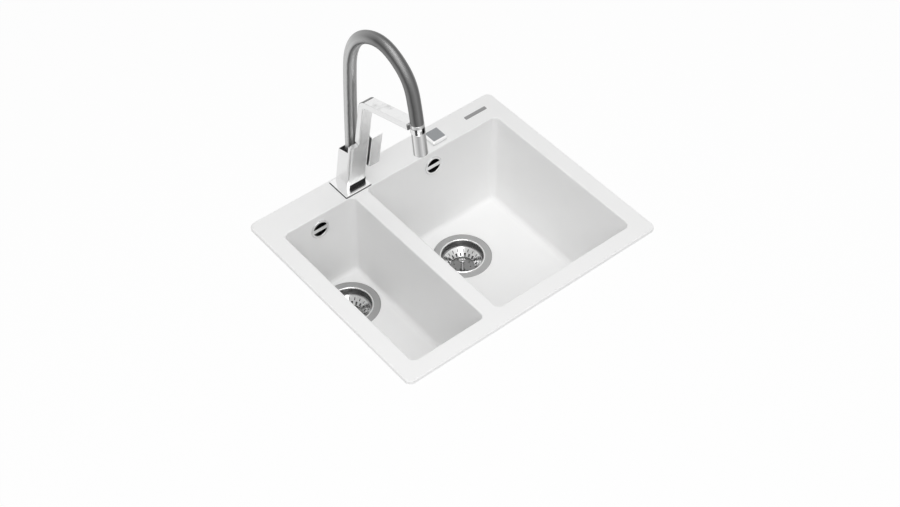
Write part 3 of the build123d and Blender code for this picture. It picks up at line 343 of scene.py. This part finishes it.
def arm_chrome_painted_reflection():
    """Satin chrome, with a painted dark reflection where the outside of the bend looks to the back.
    """
    m = Material("arm_chrome_painted_reflection")
    haze = m.noise(HAZE_SCALE)
    back = m.shaken(m.facing("Y"), haze, ARM_HAZE)
    return m.finish(m.tones(back, ARM_PAINTED_REFLECTIONS), m.spread(haze, *ARM_ROUGHNESS), metallic=1.0)


def brushed_steel():
    """Grey steel with brushed lines along x."""
    m = Material("brushed_steel")
    lines = m.brush_lines()
    cloud = m.noise(BRUSH_CLOUD_SCALE, detail=2.0)
    m.bump(lines, BRUSH_BUMP, METAL_RELIEF)
    return m.finish(m.tones(m.mixed(lines, cloud, BRUSH_LINES_SHARE), BRUSH_TONES),
                    m.spread(lines, *BRUSH_ROUGHNESS), metallic=1.0)


def flange_steel_painted_shade():
    """Brushed on the flat ring and polished down the cup's wall, with painted shade that makes the
    cup's wall darker.
    """
    m = Material("flange_steel_painted_shade")
    lines = m.brush_lines()
    up = m.shaken(m.facing("Z"), lines, FLANGE_HAZE)
    m.bump(lines, BRUSH_BUMP, METAL_RELIEF)
    return m.finish(m.tones(up, FLANGE_PAINTED_SHADE_TONES), m.spread(up, *FLANGE_ROUGHNESS),
                    metallic=FLANGE_METALLIC)


def basket_steel_painted_reflection():
    """Pressed strainer with painted reflections: bright sides and a darker grey floor, set by which
    way the surface faces.
    """
    m = Material("basket_steel_painted_reflection")
    fine = m.noise(BASKET_SCALE)
    up = m.shaken(m.facing("Z"), fine, BASKET_HAZE)
    return m.finish(m.tones(up, BASKET_PAINTED_REFLECTIONS), m.spread(fine, *BASKET_ROUGHNESS), metallic=1.0)


def hose_steel_painted_reflections():
    """Wound steel with painted reflections as darker and brighter streaks along it, and painted
    shade on the falling leg, placed by the mesh's attribute.
    """
    m = Material("hose_steel_painted_reflections")
    fine = m.noise(HOSE_SCALE)
    cloud = m.noise(HOSE_CLOUD_SCALE)
    own = m.add("ShaderNodeAttribute", attribute_name=ROUND).outputs["Vector"]
    turn = m.shaken(m.turn(own), cloud, HOSE_HAZE)
    falling = m.spread(m.split(own)["Z"], 0.0, 1.0, *HOSE_CHANGE)
    # sockets 6, 7 and 2 are the two colours and the result of a colour mix
    painted_streaks = m.add("ShaderNodeMix", {0: falling, 6: m.tones(turn, HOSE_RISING_PAINTED_REFLECTIONS),
                                      7: m.tones(turn, HOSE_FALLING_PAINTED_SHADE)}, data_type="RGBA")
    m.bump(fine, HOSE_BUMP, METAL_RELIEF)
    return m.finish(painted_streaks.outputs[2], m.spread(fine, *HOSE_ROUGHNESS), metallic=1.0)


def plain(name, colour, rough, metallic=0.0, specular=0.5):
    """Moulded or machined stuff: fine grain in colour, gloss and height."""
    m = Material(name)
    fine = m.noise(PLAIN_SCALE)
    colours = [[tone * factor for tone in colour]
               for factor in (1 - PLAIN_SPREAD, 1 + PLAIN_SPREAD)]
    m.bump(fine, PLAIN_BUMP, GRAIN_RELIEF)
    smooth, dull = PLAIN_GLOSS
    return m.finish(m.ramp(fine, list(zip(PLAIN_STOPS, colours))),
                    m.spread(fine, rough + smooth, rough + dull), metallic, specular)


def floor_material():
    """White to the camera and to mirrors, and still shaded under the rim."""
    m = Material("floor")
    m.finish(FLOOR_COLOUR, FLOOR_ROUGHNESS, specular=0.0)
    shaded = m.shader.outputs["BSDF"]
    glow = m.add("ShaderNodeEmission", {"Color": WHITE, "Strength": 1.0}).outputs["Emission"]
    surface = m.mix_shader(m.seen(), shaded, m.mix_shader(FLOOR_GLOW, shaded, glow))
    m.fill(m.tree.nodes["Material Output"], {"Surface": surface})
    return m.material


# ---- shapes --------------------------------------------------------------------------------
def add_object(name, data):
    thing = bpy.data.objects.new(name, data)
    bpy.context.collection.objects.link(thing)
    return thing


def mesh_object(name, mesh):
    data = bpy.data.meshes.new(name)
    mesh.to_mesh(data)
    mesh.free()
    return add_object(name, data)


def in_turn(items):
    """Pairs of neighbours round a closed list."""
    return zip(items, items[1:] + items[:1])


def circle(steps):
    """The cosine and sine of evenly spaced angles."""
    angles = [2 * math.pi * step / steps for step in range(steps)]
    return [(math.cos(angle), math.sin(angle)) for angle in angles]


def rounded_rectangle(half_x, half_y, radius):
    """Corner points of a rounded rectangle, anticlockwise."""
    points = []
    for quarter, (side_x, side_y) in enumerate(((1, 1), (-1, 1), (-1, -1), (1, -1))):
        for step in range(CORNER_STEPS + 1):
            angle = math.pi / 2 * (quarter + step / CORNER_STEPS)
            points.append((side_x * (half_x - radius) + radius * math.cos(angle),
                           side_y * (half_y - radius) + radius * math.sin(angle)))
    return points


def strip(mesh, one, two):
    """Four-sided faces between two closed rings."""
    for (here, after), (above, above_after) in zip(in_turn(one), in_turn(two)):
        mesh.faces.new((here, after, above_after, above))


def swept_tube(name, points, radii, sides):
    """A closed tube round the points, with a radius for each.

    Its attribute holds the cosine and sine of the place round the tube, and the share of length.
    """
    mesh = bmesh.new()
    spokes = circle(sides)
    rings = []
    across = Vector((1, 0, 0))
    for index, (at, radius) in enumerate(zip(points, radii)):
        ahead = points[min(index + 1, len(points) - 1)] - points[max(index - 1, 0)]
        ahead.normalize()
        across = (across - ahead * across.dot(ahead)).normalized()
        other = ahead.cross(across)
        rings.append([mesh.verts.new(at + (across * cosine + other * sine) * radius)
                      for cosine, sine in spokes])
    for one, two in zip(rings, rings[1:]):
        strip(mesh, one, two)
    mesh.faces.new(list(reversed(rings[0])))
    mesh.faces.new(rings[-1])
    for face in mesh.faces:
        face.smooth = len(face.verts) == 4
    tube = mesh_object(name, mesh)
    place = tube.data.attributes.new(ROUND, "FLOAT_VECTOR", "POINT")
    for index, item in enumerate(place.data):
        item.vector = (*spokes[index % sides], index // sides / len(points))
    return tube


def lathe(name, centre, profile):
    """A ring turned about an upright line: the closed profile holds radius and height pairs."""
    mesh = bmesh.new()
    rings = [[mesh.verts.new((centre.x + radius * cosine, centre.y + radius * sine, z))
              for radius, z in profile] for cosine, sine in circle(LATHE_SIDES)]
    for one, two in in_turn(rings):
        strip(mesh, two, one)
    for face in mesh.faces:
        face.smooth = True
    bmesh.ops.recalc_face_normals(mesh, faces=mesh.faces[:])
    return mesh_object(name, mesh)


def rounded_block(name, low, high, bevel):
    """A block with rounded edges, from its lowest to its highest corner."""
    mesh = bmesh.new()
    bmesh.ops.create_cube(mesh, size=1.0)
    for vert in mesh.verts:
        vert.co = (low + high) / 2 + vert.co * (high - low)
    bmesh.ops.bevel(mesh, geom=mesh.edges[:], offset=bevel, segments=2, affect="EDGES",
                    profile=0.5)
    return mesh_object(name, mesh)


def spline_line(route):
    """The points of the NURBS spline through the route's control points, and the length at each."""
    data = bpy.data.curves.new("route", "CURVE")
    data.dimensions = "3D"
    data.resolution_u = SPLINE_RESOLUTION
    spline = data.splines.new("NURBS")
    spline.points.add(len(route) - 1)
    for point, at in zip(spline.points, route):
        point.co = (*at, 1.0)
    spline.order_u = 3
    spline.use_endpoint_u = True
    holder = add_object("route", data)
    mesh = bpy.data.meshes.new_from_object(holder)
    line = [vert.co.copy() for vert in mesh.vertices]
    bpy.data.objects.remove(holder)
    bpy.data.curves.remove(data)
    bpy.data.meshes.remove(mesh)
    lengths = [0.0]
    for one, two in zip(line, line[1:]):
        lengths.append(lengths[-1] + (two - one).length)
    return line, lengths


def evenly(line, lengths, count):
    """Evenly spaced points along a line of points."""
    points, index = [], 0
    for step in range(count):
        goal = lengths[-1] * step / (count - 1)
        while index < len(line) - 2 and lengths[index + 1] < goal:
            index += 1
        share = (goal - lengths[index]) / (lengths[index + 1] - lengths[index])
        points.append(line[index].lerp(line[index + 1], min(1.0, share)))
    return points


# ---- stage ---------------------------------------------------------------------------------
def make_camera():
    data = bpy.data.cameras.new("camera")
    data.lens = CAMERA_LENS
    data.sensor_width = CAMERA_SENSOR
    data.clip_start, data.clip_end = CAMERA_CLIP
    camera = add_object("camera", data)
    camera.location = CAMERA_AT
    turn = CAMERA_FORWARD.to_track_quat("-Z", "Y").to_matrix()
    camera.rotation_euler = (turn @ Matrix.Rotation(CAMERA_ROLL, 3, "Z")).to_euler()
    bpy.context.scene.camera = camera


def make_lamp(name, at, width, watts):
    data = bpy.data.lights.new(name, "AREA")
    data.shape = "DISK"
    data.size = width
    data.energy = watts
    lamp = add_object(name, data)
    lamp.location = at
    lamp.rotation_euler = (-at).to_track_quat("-Z", "Y").to_euler()


def make_world():
    """Pure white to the camera and to mirrors, and a weaker white light on everything."""
    world = bpy.data.worlds.new("world")
    bpy.context.scene.world = world
    world.use_nodes = True
    m = Nodes(world.node_tree)
    light = m.tree.nodes["Background"]
    m.fill(light, {"Color": WHITE, "Strength": WORLD_LEVEL})
    white = m.add("ShaderNodeBackground", {"Color": WHITE, "Strength": 1.0})
    surface = m.mix_shader(m.seen(), light.outputs["Background"], white.outputs["Background"])
    m.fill(m.tree.nodes["World Output"], {"Surface": surface})


def make_floor():
    """A pale floor level with the worktop, open where the sink hangs in it."""
    low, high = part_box("basin")
    half = (high - low) / 2
    inner = rounded_rectangle(half.x - CUTOUT_INSET, half.y - CUTOUT_INSET, CUTOUT_CORNER)
    reaches = [FLOOR_HALF / max(abs(x), abs(y)) for x, y in inner]
    outer = [(x * reach, y * reach) for (x, y), reach in zip(inner, reaches)]
    mesh = bmesh.new()
    rings = [[mesh.verts.new((x, y, FLOOR_Z)) for x, y in outline] for outline in (outer, inner)]
    strip(mesh, *rings)
    floor = mesh_object("floor", mesh)
    floor.data.materials.append(floor_material())


# ---- pieces --------------------------------------------------------------------------------
def hose_route():
    """The hose's given points, from the tap body over the arch to the spray head's nut."""
    foot, head = HOSE_FOOT, HOSE_HEAD
    points = []
    for y, z in HOSE_SIDE:
        share = (foot.y - y) / (foot.y - head.y)
        points.append(Vector((foot.x + share * (head.x - foot.x), y, z)))
    return points + [head + SPRAY_AXIS * HOSE_LAST_RUN, head]


def make_hose():
    """Fine wound metal hose: shallow turns along its whole length."""
    line, lengths = spline_line(hose_route())
    rings = int(lengths[-1] / HOSE_PITCH) * len(HOSE_WAVE) + 1
    radii = [HOSE_RADIUS - HOSE_GROOVE * (1 - HOSE_WAVE[index % len(HOSE_WAVE)])
             for index in range(rings)]
    hose = swept_tube("metal_hose", evenly(line, lengths, rings), radii, HOSE_SIDES)
    hose.data.materials.append(hose_steel_painted_reflections())
    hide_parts("spray_hose")
    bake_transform(hose)


def make_waste_lips(material):
    """The bright rolled lip round each waste's mouth."""
    for bowl in ("small", "large"):
        low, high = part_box("waste_flange_" + bowl)
        middle = high.z - LIP_DROP
        profile = [(LIP_R + LIP_HALF_W * cosine, middle + LIP_HALF_H * sine)
                   for cosine, sine in circle(LIP_STEPS)]
        lip = lathe("waste_lip_" + bowl, (low + high) / 2, profile)
        lip.data.materials.append(material)
        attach(lip, "sink")


def make_base_shade_lip(material):
    """A dark rubber edge round the tap's base plate: the gasket's edge, and painted contact shadow
    under the plate.
    """
    low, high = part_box("tap_base_plate")
    middle, half = (low + high) / 2, (high - low) / 2
    mesh = bmesh.new()
    rings = []
    for out, up in BASE_LIP_SECTION:
        outline = rounded_rectangle(half.x + out, half.y + out, BASE_LIP_CORNER + out)
        rings.append([mesh.verts.new((middle.x + x, middle.y + y, BASE_LIP_Z + up))
                      for x, y in outline])
    for one, two in in_turn(rings):
        strip(mesh, one, two)
    bmesh.ops.recalc_face_normals(mesh, faces=mesh.faces[:])
    lip = mesh_object("base_shade_lip", mesh)
    lip.data.materials.append(material)
    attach(lip, "sink")


def make_shank_thread(material):
    """The turned thread on the tap's shank below its nut."""
    low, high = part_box("tap_shank")
    nut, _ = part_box("tap_nut")
    radius = (high.x - low.x) / 2
    z = low.z + THREAD_START
    profile = [(radius + THREAD_INSIDE, z)]
    while z < nut.z - THREAD_PITCH:
        profile += [(radius + THREAD_ROOT, z), (radius + THREAD_CREST, z + THREAD_PITCH / 2)]
        z += THREAD_PITCH
    profile += [(radius + THREAD_ROOT, z), (radius + THREAD_INSIDE, z)]
    thread = lathe("shank_thread", (low + high) / 2, profile)
    thread.data.materials.append(material)
    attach(thread, "sink")


def make_lever_shade_liner(material):
    """A thin dark sheet on the lever's inner face: painted shade in the gap beside the body."""
    liner = rounded_block("lever_shade_liner", LINER_LOW, LINER_HIGH, LINER_BEVEL)
    liner.data.transform(BODY_FRAME)
    liner.data.materials.append(material)
    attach(liner, "lever")


def dress(material, *names):
    """Gives the frame's nodes of these names one material."""
    for name in names:
        for slot in nodes[name].material_slots:
            slot.material = material


# ---- build ---------------------------------------------------------------------------------
bpy.context.scene.view_settings.view_transform = "Standard"
make_camera()
make_world()
make_floor()
for lamp in LAMPS:
    make_lamp(*lamp)

dress(composite(), "basin")
dress(chrome("satin_chrome", level=0.79, rough=0.24), "tap_body", "cartridge_nut")
dress(chrome("plate_chrome", level=0.90, rough=0.20), "tap_base_plate")
dress(arm_chrome_painted_reflection(), "tap_arm")
# the lever has the body's satin chrome made brighter: painted light on its face
dress(chrome("lever_chrome_painted_light", level=0.95, rough=0.26), "lever")
bright = chrome("polished_chrome", level=0.92, rough=0.10)
dress(bright, "knob", "spray_spigot")
dress(chrome("overflow_chrome", level=0.78, rough=0.16),
      "overflow_face_small", "overflow_face_large")
make_waste_lips(bright)
dress(basket_steel_painted_reflection(), "basket_small", "basket_large")
dress(spray_chrome_painted_reflections(), "spray_shell", "hose_end_nut")
dress(brushed_steel(), "corner_plate")
dress(flange_steel_painted_shade(), "waste_flange_small", "waste_flange_large")
make_hose()
rubber = plain("black_rubber", (0.03, 0.03, 0.032), rough=0.65)
make_base_shade_lip(rubber)
dress(rubber, "rim_seal", "overflow_seals", "flange_seals", "waste_washers", "basket_seal_small",
      "basket_seal_large", "knob_washer", "tap_base_gasket", "tap_washer")
black = plain("black_plastic", (0.025, 0.025, 0.027), rough=0.4)
make_lever_shade_liner(black)
# the knob's bushing is black so that it shows as a dark line under the knob: painted shade
dress(black, "dock_clip", "spray_face", "hose_socket", "popup_cable", "tap_waterway", "lever_hub",
      "knob_bushing", "overflow_housing_small", "overflow_housing_large")
# the foot insert is a matt black strip standing in as painted reflection and shade at the leaning
# body's front foot
dress(plain("foot_shade_black", (0.012, 0.012, 0.013), rough=0.75, specular=0.15), "tap_foot_insert")
dress(plain("white_plastic", (0.78, 0.78, 0.76), rough=0.45), "overflow_hose_small",
      "overflow_hose_large", "waste_body_small", "waste_body_large", "waste_nuts")
dress(plain("grey_plastic", (0.33, 0.34, 0.35), rough=0.5), "lift_pin", "popup_rocker",
      "cable_box", "knob_cable_box")
dress(plain("knob_grey", (0.30, 0.31, 0.32), rough=0.4, metallic=0.6), "knob_cap")
dress(plain("zinc_steel", (0.60, 0.61, 0.63), rough=0.35, metallic=1.0), "fixing_clips",
      "clip_screws", "lever_screw", "lever_pin", "arm_screws", "tap_clamp_plate")
brass = plain("brass", (0.75, 0.58, 0.30), rough=0.3, metallic=1.0)
make_shank_thread(brass)
dress(brass, "clip_inserts", "knob_shaft", "knob_nut", "tap_shank", "tap_nut")
dress(plain("ceramic", (0.82, 0.82, 0.80), rough=0.35), "cartridge")
